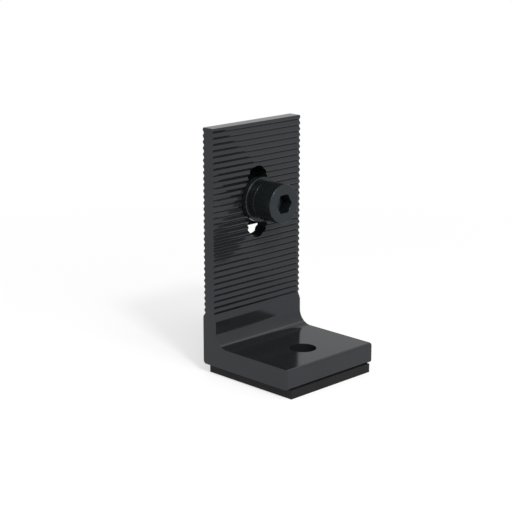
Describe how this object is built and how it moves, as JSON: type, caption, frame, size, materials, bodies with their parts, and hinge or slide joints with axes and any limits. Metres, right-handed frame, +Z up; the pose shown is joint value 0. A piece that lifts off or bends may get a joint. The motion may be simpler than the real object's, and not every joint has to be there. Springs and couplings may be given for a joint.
{
  "type": "roof mounting foot bracket",
  "caption": "L-shaped roof foot with serrated slotted leg, rubber pad and a socket head screw with washers and slot nut, for fixing a rail to a roof.",
  "frame": {"origin": "centre of the rubber pad's underside, on the surface that the foot stands on", "axes": "+Z up along the leg, -Y from the leg towards the toe, X across the width"},
  "size_m": [0.04, 0.0494, 0.0823],
  "materials": {
    "dark_aluminium": "satin black anodised",
    "black_rubber": "matt",
    "dark_steel": "black"
  },
  "bodies": {
    "root": {"l_foot": "dark_aluminium", "rubber_pad": "black_rubber", "cap_screw": "dark_steel", "flat_washer": "dark_steel", "spring_washer": "dark_steel", "slot_nut": "dark_steel"}
  },
  "joints": []
}
